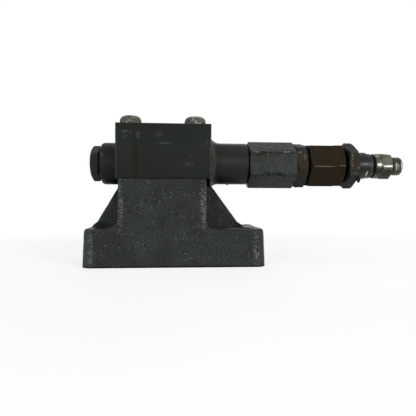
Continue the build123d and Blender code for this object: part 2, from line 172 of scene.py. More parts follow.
class Finish:
    """A material in the making, whose base colour is tinted step by step through masks."""

    def __init__(self, name, code):
        """Starts with the shader, the object's own coordinates and a first colour."""
        self.material = bpy.data.materials.new(name)
        self.material.use_nodes = True
        self.tree = self.material.node_tree
        self.shader = self.tree.nodes["Principled BSDF"]
        self.place = add(self.tree, "ShaderNodeTexCoord").outputs["Object"]
        self.base = add(self.tree, "ShaderNodeRGB").outputs[0]
        self.base.default_value = shade(code)

    def grain(self, size, low, high, detail=3.0, stretch=(1, 1, 1)):
        """Noise of one real size, cut to a mask between two levels."""
        scale = tuple(s / size for s in stretch)
        scaled = add(self.tree, "ShaderNodeVectorMath", {1: scale}, {0: self.place}, operation="MULTIPLY")
        cloud = add(
            self.tree,
            "ShaderNodeTexNoise",
            {"Scale": 1.0, "Detail": detail},
            {"Vector": scaled.outputs[0]},
        )
        return add(
            self.tree,
            "ShaderNodeMapRange",
            {"From Min": low, "From Max": high},
            {"Value": cloud.outputs["Fac"]},
            interpolation_type="SMOOTHSTEP",
        ).outputs["Result"]

    def spot(self, centre, reach):
        """A mask that is 1 at a place in millimetres and fades to 0 at its reach along each axis."""
        middle = tuple(c * MM for c in centre)
        scale = tuple(1 / (r * MM) for r in reach)
        moved = add(self.tree, "ShaderNodeVectorMath", {1: middle}, {0: self.place}, operation="SUBTRACT")
        scaled = add(
            self.tree, "ShaderNodeVectorMath", {1: scale}, {0: moved.outputs[0]}, operation="MULTIPLY"
        )
        far = add(self.tree, "ShaderNodeVectorMath", {}, {0: scaled.outputs[0]}, operation="LENGTH")
        return add(
            self.tree,
            "ShaderNodeMapRange",
            {"From Min": 1.0, "From Max": 0.45},
            {"Value": far.outputs["Value"]},
            interpolation_type="SMOOTHSTEP",
        ).outputs["Result"]

    def worn_edges(self, radius, low, high):
        """A mask that is 1 along outer edges, from how far the rounded normal leans from the true one."""
        rounded = add(self.tree, "ShaderNodeBevel", {"Radius": radius}, samples=6)
        true = add(self.tree, "ShaderNodeNewGeometry")
        lean = add(
            self.tree,
            "ShaderNodeVectorMath",
            {},
            {0: rounded.outputs["Normal"], 1: true.outputs["Normal"]},
            operation="DOT_PRODUCT",
        )
        return add(
            self.tree,
            "ShaderNodeMapRange",
            {"From Min": high, "From Max": low},
            {"Value": lean.outputs["Value"]},
            interpolation_type="SMOOTHSTEP",
        ).outputs["Result"]

    def tint(self, code, *masks, strength=1.0):
        """Passes the base to another colour where all the masks are 1, as far as the strength says."""
        share = masks[0]
        for factor in masks[1:]:
            share = add(
                self.tree, "ShaderNodeMath", {}, {0: share, 1: factor}, operation="MULTIPLY"
            ).outputs[0]
        part = add(self.tree, "ShaderNodeMath", {1: strength}, {0: share}, operation="MULTIPLY")
        links = {0: part.outputs[0], 6: self.base}
        self.base = add(self.tree, "ShaderNodeMix", {7: shade(code)}, links, data_type="RGBA").outputs[2]

    def marks(self, code, places, *masks):
        """Marks of one colour, each a centre, a reach and a strength, broken up by more masks."""
        for centre, reach, strength in places:
            self.tint(code, self.spot(centre, reach), *masks, strength=strength)

    def paint_gap_shade(self, shine, reach):
        """Paints shade into the gaps within reach: darkens their colour and sinks their shine."""
        open_sky = add(self.tree, "ShaderNodeAmbientOcclusion", {"Distance": reach}, samples=8)
        gap = add(
            self.tree,
            "ShaderNodeMapRange",
            {"From Min": 0.8, "From Max": 0.35},
            {"Value": open_sky.outputs["AO"]},
            interpolation_type="SMOOTHSTEP",
        ).outputs["Result"]
        # painted shade: the colour sinks towards near black in occluded gaps
        self.tint("#080806", gap, strength=0.9)
        dulled = add(self.tree, "ShaderNodeMapRange", {"To Min": shine, "To Max": 0.0}, {"Value": gap})
        self.tree.links.new(dulled.outputs["Result"], self.shader.inputs["Specular IOR Level"])

    def settled(self, values, height=None, depth=0.0):
        """The material, once its shader has the base colour, plain values and bump of a real depth."""
        self.tree.links.new(self.base, self.shader.inputs["Base Color"])
        for key, value in values.items():
            self.shader.inputs[key].default_value = value
        if height is not None:
            bump = add(self.tree, "ShaderNodeBump", {"Distance": depth}, {"Height": height})
            self.tree.links.new(bump.outputs["Normal"], self.shader.inputs["Normal"])
        return self.material


# Finishes


def sand_cast_paint():
    """Thin paint over sand-cast iron: a matte, pitted face with pale dust caught on the grain."""
    colours = bpy.context.scene.valve_colours
    size = bpy.context.scene.valve_sizes.cast_grain
    coat = Finish("sand_cast_iron_thin_paint", colours.casting)
    coat.tint("#343a35", coat.grain(18 * MM, 0.35, 0.65))
    dusted = coat.grain(9 * MM, 0.3, 0.65)
    coat.tint(colours.casting_dust, coat.grain(0.9 * size, 0.5, 0.68), dusted, strength=0.38)
    pits = coat.grain(1.1 * size, 0.54, 0.66)
    coat.tint("#14170f", pits, strength=0.5)
    specks = coat.grain(1.3 * MM, 0.65, 0.71, detail=1.0)
    coat.tint("#979d93", specks, coat.grain(14 * MM, 0.42, 0.62), strength=0.6)

    # painted highlights along the front's upright rounded edges, broken up by a fine grain
    rubbed = coat.grain(1.5 * MM, 0.46, 0.58)
    for across, low, high in ((-68.5, -2, 32), (67.5, -2, 32), (-44.4, 30, 76), (23.2, 30, 76)):
        edge_highlight = coat.spot((across, -30.5, (low + high) / 2), (3.4, 4, (high - low) / 1.6))
        coat.tint("#8c938d", edge_highlight, rubbed, strength=0.62)
    # a lighter patch on the left web, and a painted highlight on the foot's front left rounded corner
    web_patch_and_corner_highlight = (((-58, -4, 44), (16, 14, 18), 0.5), ((-71, -30, 15), (5, 8, 20), 0.45))
    coat.marks("#4c544d", web_patch_and_corner_highlight)
    shaded = (((62, 4, 34.5), (18, 34, 6), 0.95), ((-64, 2, 33.5), (13, 34, 4), 0.9))
    coat.marks("#0d0f0b", shaded)
    edges = coat.worn_edges(2.2 * MM, 0.8, 0.985)
    coat.tint("#56605a", edges, coat.grain(size, 0.35, 0.7), strength=0.7)
    coat.paint_gap_shade(0.2, 5 * MM)
    return coat.settled({"Roughness": 0.5}, coat.grain(1.3 * size, 0.25, 0.75, detail=4.0), 0.7 * MM)


def milled_steel_paint():
    """Thin satin paint on milled steel: smooth and dark, with pale scuffs, chips and a brown run."""
    colours = bpy.context.scene.valve_colours
    coat = Finish("milled_steel_satin_paint", colours.body)
    coat.tint("#292e29", coat.grain(26 * MM, 0.3, 0.7, detail=2.0))
    run = coat.grain(3 * MM, 0.3, 0.6, stretch=(1, 1, 0.15))
    stained = (((-32.2, -30, 88), (3.6, 8, 26), 0.8),)
    coat.marks(colours.stain, stained, run)
    scuffs = (
        ((-39.5, -30, 110.6), (6.5, 3, 2.2), 0.5),
        ((-40.5, -30, 106.6), (3.4, 3, 2.2), 0.3),
        ((-30.0, -30, 108.2), (2.2, 3, 3.6), 0.6),
        ((-13.6, -30, 109.0), (4.4, 3, 4.4), 0.35),
        ((-8.0, -30, 101.8), (8.0, 3, 1.5), 0.5),
        ((13.0, -30, 91.0), (2.4, 3, 1.4), 0.5),
        ((12.0, -30, 85.2), (4.8, 3, 2.2), 0.35),
        ((25.6, -30, 102.8), (1.2, 3, 2.6), 0.6),
        ((22.0, -30, 101.0), (1.2, 3, 2.0), 0.3),
    )
    fine = coat.grain(1.1 * MM, 0.46, 0.6)
    coat.marks("#6d756e", scuffs, fine)
    pale_lines = (
        ((-48.2, -30, 96), (0.9, 2, 40), 0.5),
        ((29.4, -30, 92), (0.8, 2, 34), 0.6),
        ((-61.2, -17.5, 93.5), (1.1, 3, 2.4), 0.9),
        ((-49.8, -15.5, 78.0), (1.3, 5, 2.2), 1.0),
    )
    coat.marks("#7f7c68", pale_lines, coat.grain(2.5 * MM, 0.36, 0.6))
    # painted highlight on the blend from block to neck
    blend_highlight = (((32.4, -19, 88), (2.6, 8, 20), 0.7),)
    coat.marks("#4a514b", blend_highlight)
    # painted shade on the neck's upper and lower sides
    neck_rim_shade = (((50, -8, 105), (26, 14, 8), 0.8), ((50, -8, 71), (26, 14, 8), 0.6))
    coat.marks("#151814", neck_rim_shade)
    dark_spots = (((-3.2, -30, 112.0), (3.0, 3, 3.0), 0.8), ((27.5, -30, 116.4), (2.4, 3, 2.6), 0.8))
    coat.marks("#14150f", dark_spots, fine)
    edges = coat.worn_edges(0.9 * MM, 0.86, 0.97)
    coat.tint("#6b6a5c", edges, coat.grain(3 * MM, 0.36, 0.56), strength=0.8)
    coat.paint_gap_shade(0.1, 3 * MM)
    return coat.settled({"Roughness": 0.45}, coat.grain(2.2 * MM, 0.2, 0.8), 0.05 * MM)


def chipped_housing_paint():
    """Thick brushed paint on turned steel: uneven skin that has flaked off along the hexagon's edges."""
    colours = bpy.context.scene.valve_colours
    coat = Finish("turned_steel_flaking_paint", colours.housing)
    coat.tint("#404642", coat.grain(7 * MM, 0.35, 0.65))
    # painted shade on the hexagon's upper and lower facets
    facet_shade = (((86, -8, 105), (40, 18, 12), 0.8), ((86, -8, 70), (40, 18, 12), 0.6))
    coat.marks("#1f2421", facet_shade)
    flakes = coat.grain(4.5 * MM, 0.5, 0.56)
    coat.tint("#1d1e19", flakes, coat.worn_edges(2.4 * MM, 0.88, 0.992), strength=0.8)
    edges = coat.worn_edges(0.7 * MM, 0.85, 0.97)
    coat.tint(colours.chip, edges, coat.grain(2.2 * MM, 0.52, 0.62), strength=0.7)
    torn = coat.grain(1.7 * MM, 0.41, 0.46, detail=4.0)
    flaked = (
        ((78, -18, 95.2), (14, 4, 3.4), 0.9),
        ((96, -18, 96.4), (10, 4, 1.6), 0.8),
        ((86, -18, 77.9), (15, 4, 2.2), 1.0),
        ((72, -18, 77.0), (8, 4, 1.3), 0.8),
    )
    coat.marks("#0c0d09", flaked, torn)
    rusty = (((81, -18, 94.6), (6, 4, 2.4), 0.55),)
    coat.marks("#4a3c2a", rusty, torn)
    # pale marks on the upper front corner: bare metal, and at its left end a painted highlight
    bare = (((95.5, -18.2, 97.2), (4.5, 4, 0.9), 1.0), ((70, -18.2, 96.8), (3, 4, 0.8), 0.9))
    coat.marks("#b5b5a6", bare, coat.grain(1.0 * MM, 0.48, 0.56))
    coat.paint_gap_shade(0.15, 3 * MM)
    return coat.settled({"Roughness": 0.45}, coat.grain(5 * MM, 0.3, 0.7, detail=4.0), 0.25 * MM)


def rusty_nut_steel(name, paint, rusty_spots, pale_spots):
    """Painted forged nut: dark paint worn to brown rust on the side in reach, with pale specks."""
    coat = Finish(name, paint)
    coat.tint("#3a3d38", coat.grain(5 * MM, 0.42, 0.68))
    coat.marks(bpy.context.scene.valve_colours.rust, rusty_spots, coat.grain(2.6 * MM, 0.34, 0.52))
    coat.tint("#191510", coat.grain(1.6 * MM, 0.56, 0.62), strength=0.6)
    coat.marks("#8d8674", pale_spots, coat.grain(1.1 * MM, 0.46, 0.58))
    coat.paint_gap_shade(0.12, 4 * MM)
    return coat.settled({"Roughness": 0.6}, coat.grain(1.8 * MM, 0.3, 0.75, detail=4.0), 0.35 * MM)


def brown_connector_steel():
    """Turned steel under an even film of brown rust and oil, rubbed pale along its edges."""
    coat = Finish("turned_steel_brown_rust", bpy.context.scene.valve_colours.rust_dark)
    coat.tint("#2e2416", coat.grain(9 * MM, 0.3, 0.7))
    edges = coat.worn_edges(0.5 * MM, 0.9, 0.985)
    coat.tint("#5b4d38", edges, coat.grain(4 * MM, 0.34, 0.5), strength=0.5)
    lines = (((128.5, -20.7, 84.85), (13, 3, 0.7), 1.0), ((144.3, -20.7, 85.5), (4.2, 3, 0.7), 1.0))
    coat.marks("#756a52", lines, coat.grain(3 * MM, 0.3, 0.45))
    coat.paint_gap_shade(0.08, 4 * MM)
    turning = coat.grain(1.2 * MM, 0.3, 0.7, stretch=(1, 0.15, 0.15))
    return coat.settled({"Roughness": 0.5}, turning, 0.04 * MM)


def black_oxide_shank():
    """Oiled black oxide on turned steel: dark and slightly glossy, with small bare spots."""
    coat = Finish("turned_steel_black_oxide", bpy.context.scene.valve_colours.oxide)
    coat.tint("#242825", coat.grain(6 * MM, 0.35, 0.65))
    # painted reflection of the floor on the shank's lower front, and a pale upright band near its right end
    grey = (((167, -6, 77.5), (9, 9, 6.0), 0.4), ((175, -10, 86), (2.2, 6, 9), 0.5))
    coat.marks("#414843", grey)
    # painted highlight along the shank's front
    painted_highlights = (((168.6, -11.6, 87.9), (5.2, 3, 0.6), 0.8),)
    coat.marks("#8c938c", painted_highlights)
    # painted shade at the shank's right end, in the groove by the seal
    seal_groove_shade = (((178.2, -9, 87), (2.4, 14, 16), 0.95),)
    coat.marks("#0c0d0b", seal_groove_shade)
    bare = (((171.2, -9.3, 79.0), (1.6, 4, 3.8), 1.0), ((176.6, -9, 79.0), (1.0, 4, 1.4), 0.8))
    coat.marks("#c9cdb9", bare, coat.grain(MM, 0.3, 0.42))
    coat.paint_gap_shade(0.2, 4 * MM)
    turning = coat.grain(0.8 * MM, 0.3, 0.7, stretch=(1, 0.1, 0.1))
    return coat.settled({"Roughness": 0.34}, turning, 0.02 * MM)


def dull_nickel_plate():
    """Nickel plate on machined steel: metal gone yellowish grey, with painted shade in its grooves and
    painted highlights.
    """
    plate = Finish("machined_steel_dull_nickel", bpy.context.scene.valve_colours.plate)
    film = plate.grain(5 * MM, 0.35, 0.65)
    plate.tint("#4a4c41", film)
    shaded = (((182.2, -9.5, 81.5), (4.2, 7, 4.6), 0.9), ((190, -9, 80.0), (7, 7, 6), 0.85))
    plate.marks("#23261f", shaded)
    # painted highlights on the collar, the hexagon's front corner and the threaded end
    painted_highlights = (
        ((182.2, -11.5, 88.0), (3.0, 4, 1.4), 0.9),
        ((182.0, -8.5, 95.4), (3.4, 4, 1.6), 0.2),
        ((190, -12.6, 86.3), (7.5, 3, 1.1), 1.0),
        ((204.3, -7.2, 87), (0.9, 5, 6), 0.55),
        ((199.5, -8, 86), (1.0, 6, 5), 0.5),
        ((201.6, -8, 85), (0.7, 6, 4), 0.4),
    )
    plate.marks("#efeee2", painted_highlights)
    # painted shade in the plated part's grooves by the hexagon and the thread
    groove_shade = (((202.6, -8, 88), (0.9, 9, 12), 0.8), ((195.5, -8, 87), (1.8, 10, 13), 1.0))
    plate.marks("#12110b", groove_shade)
    brown_stain = (((188, -8.5, 96.2), (3.4, 6, 2.6), 0.7),)
    plate.marks("#4c4230", brown_stain)
    tarnish = plate.grain(2.2 * MM, 0.56, 0.7)
    plate.tint("#554a38", tarnish, strength=0.6)
    rough = add(plate.tree, "ShaderNodeMapRange", {"To Min": 0.28, "To Max": 0.5}, {"Value": film})
    plate.tree.links.new(rough.outputs["Result"], plate.shader.inputs["Roughness"])
    return plate.settled({"Metallic": 0.85}, plate.grain(1.2 * MM, 0.3, 0.7), 0.03 * MM)


def weathered_screw_zinc():
    """Weathered zinc on the screw heads: dull grey with dark dirt in the knurl and paint on top."""
    zinc = Finish("cold_headed_steel_weathered_zinc", bpy.context.scene.valve_colours.screw)
    dirt = zinc.grain(1.5 * MM, 0.44, 0.54)
    zinc.tint("#23251e", dirt, strength=0.9)
    pale = zinc.grain(1.6 * MM, 0.56, 0.62)
    zinc.tint("#b9baab", pale, strength=0.9)
    rust = zinc.grain(3.0 * MM, 0.58, 0.66)
    zinc.tint("#5a4a38", rust, strength=0.5)
    return zinc.settled({"Metallic": 0.35, "Roughness": 0.5}, zinc.grain(1.1 * MM, 0.3, 0.7), 0.12 * MM)


def moulded_rubber():
    """Black moulded rubber: matte, a shade lighter where oil has dried on it."""
    rubber = Finish("nitrile_rubber_moulded", "#0b0b0b")
    rubber.tint("#141512", rubber.grain(2 * MM, 0.4, 0.6))
    return rubber.settled({"Roughness": 0.8, "Specular IOR Level": 0.08})


def ground_steel():
    """Ground steel of the inner parts: bright metal with fine lines round it."""
    steel = Finish("hardened_steel_ground", "#a9a9a6")
    steel.tint("#8f908d", steel.grain(0.6 * MM, 0.3, 0.7, stretch=(1, 0.1, 0.1)))
    return steel.settled({"Metallic": 1.0, "Roughness": 0.3})


def spring_wire():
    """Oiled spring wire: dark drawn steel with a dull shine."""
    wire = Finish("spring_steel_oiled", "#4a4a4c")
    wire.tint("#5f6062", wire.grain(2 * MM, 0.4, 0.6))
    return wire.settled({"Metallic": 1.0, "Roughness": 0.4})


# Forms


def hex_radius(angles, wrench, turn, edge):
    """Distance from centre to a hexagon's side at each angle, with its corners eased."""
    sides = radians(turn) + np.arange(6) * pi / 3
    facing = np.cos(angles[:, None] - sides[None, :])
    turned_away, far = 0.2, 1.0
    reach = np.where(facing > turned_away, wrench / 2 / np.maximum(facing, turned_away), far)
    nearest = reach.min(axis=1)
    return nearest - edge * np.log(np.exp(-(reach - nearest[:, None]) / edge).sum(axis=1))


def round_angles(turn=None):
    """Angles round a turned piece, closer together at a hexagon's corners."""
    angles = set(np.round(np.arange(0, 360, 2.0), 3))
    if turn is not None:
        for corner in range(6):
            middle = turn + 30 + 60 * corner
            for step in (-2.4, -1.6, -1.0, -0.5, 0, 0.5, 1.0, 1.6, 2.4):
                angles.add(round((middle + step) % 360, 3))
    return np.radians(sorted(angles))


def even_angles(count):
    """Equal steps round a circle."""
    return [2 * pi * step / count for step in range(count)]


def eased(points, radius):
    """The closed outline with each corner rounded by three points."""
    out = []
    for i in range(len(points)):
        before, corner, after = (Vector(points[k % len(points)]) for k in (i - 1, i, i + 1))
        back, on = before - corner, after - corner
        cut = min(radius, back.length * 0.4, on.length * 0.4)
        start, end = corner + back.normalized() * cut, corner + on.normalized() * cut
        out += [tuple(start), tuple((start + end) / 4 + corner / 2), tuple(end)]
    return out


def stepped(points, step):
    """The closed outline with long runs divided, so that a hexagon's chamfers come out sharp."""
    out = []
    for i, here in enumerate(points):
        after = points[(i + 1) % len(points)]
        along, outward = after[0] - here[0], after[1] - here[1]
        parts = max(1, int(np.hypot(along, outward) / step))
        out += [(here[0] + along * (k / parts), here[1] + outward * (k / parts)) for k in range(parts)]
    return out


def bands(rings, count, closed=False, start=0):
    """Faces between rings of as many points each, with the last ring joined to the first if closed."""
    faces = []
    for ring in range(rings if closed else rings - 1):
        this, after = start + ring * count, start + (ring + 1) % rings * count
        for step in range(count):
            onward = (step + 1) % count
            faces.append((this + step, this + onward, after + onward, after + step))
    return faces


def skin(name, points, faces, sharp, merge=None):
    """A smooth mesh that faces outward and keeps edges sharp above an angle in degrees."""
    mesh = bpy.data.meshes.new(name)
    mesh.from_pydata(points, [], faces)
    work = bmesh.new()
    work.from_mesh(mesh)
    if merge is not None:
        bmesh.ops.remove_doubles(work, verts=work.verts, dist=merge)
    bmesh.ops.recalc_face_normals(work, faces=work.faces)
    work.to_mesh(mesh)
    work.free()
    mesh.shade_smooth()
    mesh.set_sharp_from_angle(angle=radians(sharp))
    return mesh


def ring_skin(name, rings, hollow=False):
    """A skin through rings of points, its ends filled, or joined to each other where it is hollow."""
    count, total = len(rings[0]), len(rings) * len(rings[0])
    ends = [] if hollow else [tuple(range(count)), tuple(range(total - 1, total - count - 1, -1))]
    points = [point for ring in rings for point in ring]
    return skin(name, points, ends + bands(len(rings), count, closed=hollow), sharp=50)


def place_piece(name, mesh, material, *nodes):
    """Puts a mesh in the scene as a piece of the fixed body that stands for CAD nodes."""
    piece = bpy.data.objects.new(name, mesh)
    bpy.context.collection.objects.link(piece)
    piece.data.materials.append(material)
    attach(piece, "valve")
    if nodes:
        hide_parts(*nodes)
    return piece


def turned_piece(
    name, outline, material, node, relief, wrench=None, turn=0, ease=0.25 * MM, step=0.7 * MM
):
    """A turned piece with relief on its skin, and a hexagon cut on it if a wrench size is given."""
    angles = round_angles(turn if wrench else None)
    edge = bpy.context.scene.valve_sizes.hex_edge
    flats = hex_radius(angles, wrench, turn, edge) if wrench else None
    rows = stepped(eased(outline, ease), step)
    points = []
    for along, radius in rows:
        radii = np.full(len(angles), radius)
        if wrench and radius > wrench * FLATS_FROM:
            inner = np.minimum(radii, flats)
            radii = inner - edge * np.log(np.exp(-(radii - inner) / edge) + np.exp(-(flats - inner) / edge))
        radii = radii + relief(along, angles, radii)
        points += [(along, -r * cos(a), AXIS_Z + r * sin(a)) for a, r in zip(angles, radii)]
    mesh = skin(name, points, bands(len(rows), len(angles), closed=True), sharp=32, merge=1e-7)
    return place_piece(name, mesh, material, node)


def thread_relief(left, right, major, pitch, depth):
    """Helical thread between two places, fading in over half a turn at each end."""

    def relief(along, angles, radii):
        if not left <= along <= right:
            return np.zeros(len(angles))
        fade = min(1.0, (along - left) / (0.5 * pitch), (right - along) / (0.5 * pitch))
        wave = 0.5 + 0.5 * np.cos(2 * pi * along / pitch - angles)
        return np.where(radii > major * 0.93, -depth * fade * wave, 0.0)

    return relief


def cloud_at(along, angle, radius, size):
    """Smooth noise of one size at a place on a turned piece."""
    return noise.noise(Vector((along, radius * cos(angle), radius * sin(angle))) / size)


def dented(amount, size):
    """Slight unevenness of a real piece, only outside its bore."""
    bore = 8 * MM

    def relief(along, angles, radii):
        heights = [amount * cloud_at(along, a, r, size) if r > bore else 0.0 for a, r in zip(angles, radii)]
        return np.array(heights)

    return relief


def torn_edges(turn, depth, size):
    """Paint flaked off in patches along the front corners of a hexagon."""

    def relief(along, angles, radii):
        off = np.abs((np.degrees(angles) - turn) % 60 - 30)
        near = np.clip(1.4 - off / 8, 0, 1) * (np.cos(angles) > 0.6)
        patch = np.array([cloud_at(along, a, r, size) for a, r in zip(angles, radii)])
        return -depth * near * np.clip((patch - 0.02) * 8, 0, 1)

    return relief


def both(first, second):
    """Two reliefs added."""
    return lambda along, angles, radii: first(along, angles, radii) + second(along, angles, radii)


def hex_outline(left, right, wrench, bore, face_left=1.0, face_right=1.0):
    """Outline of a bored hexagon whose ends are turned at 30 degrees."""
    corner = wrench / sqrt(3) + CORNER_SPARE
    slope = tan(radians(30))
    run_left = (corner - wrench * face_left / 2) * slope
    run_right = (corner - wrench * face_right / 2) * slope
    return [
        (left, bore),
        (left, wrench * face_left / 2),
        (left + run_left, corner),
        (right - run_right, corner),
        (right, wrench * face_right / 2),
        (right, bore),
    ]


def node_mesh(node, name):
    """A welded copy of a CAD node's mesh."""
    mesh = frame["nodes"][node].data.copy()
    mesh.name = name
    mesh.materials.clear()
    work = bmesh.new()
    work.from_mesh(mesh)
    bmesh.ops.remove_doubles(work, verts=work.verts, dist=1e-6)
    bmesh.ops.dissolve_limit(
        work, angle_limit=radians(0.6), verts=work.verts, edges=work.edges, use_dissolve_boundaries=False
    )
    work.to_mesh(mesh)
    work.free()
    return mesh


def remeshed(mesh, voxel, rounds):
    """The mesh rebuilt from small even faces and smoothed; the voxel is in millimetres."""
    mesh.transform(Matrix.Scale(1 / MM, 4))
    holder = bpy.data.objects.new(mesh.name, mesh)
    bpy.context.collection.objects.link(holder)
    even = holder.modifiers.new("even", "REMESH")
    even.mode = "VOXEL"
    even.voxel_size = voxel
    smooth = holder.modifiers.new("smooth", "SMOOTH")
    smooth.iterations = rounds
    made = bpy.data.meshes.new_from_object(holder.evaluated_get(bpy.context.evaluated_depsgraph_get()))
    bpy.data.objects.remove(holder)
    made.transform(Matrix.Scale(MM, 4))
    return made


def rough_cast(mesh, box):
    """Moves points by the casting's grain, but not at the foot's face and never past the box."""
    points = np.empty(len(mesh.vertices) * 3)
    normals = np.empty(len(mesh.vertices) * 3)
    mesh.vertices.foreach_get("co", points)
    mesh.vertices.foreach_get("normal", normals)
    points, normals = points.reshape(-1, 3), normals.reshape(-1, 3)
    above = np.clip((points[:, 2] - 0.5 * MM) / MM, 0, 1)
    waves = np.array([noise.noise(Vector(p) / (5 * MM)) for p in points])
    grains = np.array([noise.noise(Vector(p) / (1.8 * MM)) for p in points])
    depth = 0.1 * MM
    points += normals * (above * (0.12 * MM * waves + depth * grains - depth))[:, None]
    mesh.vertices.foreach_set("co", np.clip(points, *np.array(box)).ravel())
    mesh.update()


def blend_rings(block_right):
    """Rings of the hollow blend from block to neck, flat at the underside, round a plain hole."""
    centre, neck, hole, underside = 87.7 * MM, 18.2 * MM, 17 * MM, 20.2 * MM
    reach, sunk = 9.6 * MM, 0.1 * MM
    angles = even_angles(96)
    rings = []
    for share in (0, 0.06, 0.14, 0.24, 0.36, 0.5, 0.66, 0.83, 1):
        rings.append([])
        for angle in angles:
            hollow = (8.8 + sin(angle)) * MM
            short = max(hollow - share * reach, 0)
            radius = neck + hollow - sqrt(max(hollow**2 - short**2, 0))
            if sin(angle) < 0:
                radius = min(radius, underside / -sin(angle))
            if share == 1:
                radius -= 0.02 * MM
            x = block_right + share * reach - sunk
            rings[-1].append((x, -radius * cos(angle), centre + radius * sin(angle)))
    for ring in (rings[-1], rings[0]):
        rings.append([(ring[0][0], -hole * cos(a), centre + hole * sin(a)) for a in angles])
    return rings


def drip_rings(at, drop, radius):
    """Rings of a hanging drip, full almost to its end; the sizes are in millimetres."""
    x, y, z = at
    rings = []
    for down, share in ((0, 1), (0.4, 0.98), (0.7, 0.8), (0.9, 0.4), (1, 0.04)):
        r, level = radius * share, (z - drop * down) * MM
        rings.append([((x + r * cos(a)) * MM, (y + r * sin(a)) * MM, level) for a in even_angles(12)])
    return rings


class OBJECT_OT_valve_casting(bpy.types.Operator):
    """Rough casting: foot, column and webs, with soft edges and a grainy skin"""

    bl_idname = "object.valve_casting"
    bl_label = "Base casting"

    def execute(self, context):
        mesh = remeshed(node_mesh("base_casting", "cast_base"), voxel=0.9, rounds=4)
        rough_cast(mesh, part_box("base_casting"))
        piece = place_piece("cast_base", mesh, sand_cast_paint(), "base_casting")
        piece.data.shade_smooth()
        return {"FINISHED"}


class OBJECT_OT_valve_body(bpy.types.Operator):
    """Valve body: milled block with the plug boss and the neck, its edges eased"""

    bl_idname = "object.valve_body"
    bl_label = "Valve body"

    def execute(self, context):
        mesh = node_mesh("valve_body", "milled_body")
        low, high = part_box("valve_body")
        block_left, block_right, block_height = -48.3 * MM, 29.7 * MM, 45 * MM
        sides = ((block_left, block_right), (low[1], high[1]), (high[2] - block_height, high[2]))
        work = bmesh.new()
        work.from_mesh(mesh)
        rims = []
        for rim in work.edges:
            on = 0
            for axis, places in enumerate(sides):
                for place in places:
                    on += all(abs(v.co[axis] - place) < 0.01 * MM for v in rim.verts)
            if on >= 2:
                rims.append(rim)
        bmesh.ops.bevel(
            work,
            geom=rims,
            offset=context.scene.valve_sizes.body_edge,
            segments=2,
            profile=0.5,
            affect="EDGES",
            clamp_overlap=True,
        )
        work.to_mesh(mesh)
        work.free()
        mesh.shade_smooth()
        mesh.set_sharp_from_angle(angle=radians(40))
        paint = milled_steel_paint()
        piece = place_piece("milled_body", mesh, paint, "valve_body")

        blend = ring_skin("neck_blend", blend_rings(block_right), hollow=True)
        piece = place_piece("neck_blend", blend, paint)
        return {"FINISHED"}


class OBJECT_OT_valve_screws(bpy.types.Operator):
    """Four socket head cap screws with knurled heads"""

    bl_idname = "object.valve_screws"
    bl_label = "Cap screws"

    def execute(self, context):
        low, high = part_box("cap_screws")
        head, shank, tiny = 9 * MM, 6 * MM, 0.001 * MM
        bottom, top = low[2], high[2]
        under_head, socket_floor = top - 12 * MM, top - 6 * MM
        angles = np.radians(np.arange(0, 360, 1.5))
        socket = hex_radius(angles, HEAD_SOCKET, 0, 0.05 * MM)
        knurled = head - 0.22 * MM * (0.5 + 0.5 * np.cos(60 * angles))
        rows = (
            (bottom, tiny),
            (bottom, shank - 0.8 * MM),
            (bottom + 0.8 * MM, shank),
            (under_head, shank),
            (under_head, head - 0.4 * MM),
            (top - 11.6 * MM, head),
            (top - 11 * MM, knurled),
            (top - 4.6 * MM, knurled),
            (top - 3.8 * MM, 8.95 * MM),
            (top - 2.6 * MM, 8.75 * MM),
            (top - 1.5 * MM, 8.2 * MM),
            (top - 0.7 * MM, 7.4 * MM),
            (top - 0.2 * MM, 6.5 * MM),
            (top, 6.0 * MM),
            (top - 0.5 * MM, socket),
            (socket_floor, socket),
            (socket_floor, tiny),
        )
        points, faces = [], []
        for x in (low[0] + head, high[0] - head):
            for y in (low[1] + head, high[1] - head):
                faces += bands(len(rows), len(angles), start=len(points))
                for z, radius in rows:
                    radii = radius + np.zeros(len(angles))
                    points += [(x + r * cos(a), y + r * sin(a), z) for a, r in zip(angles, radii)]
        mesh = skin("socket_screws", points, faces, sharp=35, merge=0.05 * MM)
        piece = place_piece("socket_screws", mesh, weathered_screw_zinc(), "cap_screws")
        return {"FINISHED"}


class OBJECT_OT_valve_plug(bpy.types.Operator):
    """Hexagon plug in the left boss"""

    bl_idname = "object.valve_plug"
    bl_label = "End plug"

    def execute(self, context):
        low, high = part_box("end_plug")
        body_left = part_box("valve_body")[0][0]
        face = body_left - 1.5 * MM
        corner = PLUG_WRENCH / sqrt(3) + CORNER_SPARE
        thread, hollow, middle = 11 * MM, 7.8 * MM, 0.01 * MM
        hollow_end = high[0] - 12 * MM
        outline = [
            (low[0], middle),
            (low[0], PLUG_WRENCH * FLATS_FROM),
            (low[0] + 1.9 * MM, corner),
            (face, corner),
            (face, thread),
            (high[0], thread),
            (high[0], hollow),
            (hollow_end, hollow),
            (hollow_end, middle),
        ]
        piece = turned_piece(
            "hex_plug",
            outline,
            milled_steel_paint(),
            "end_plug",
            dented(0.06 * MM, 4 * MM),
            PLUG_WRENCH,
        )
        return {"FINISHED"}


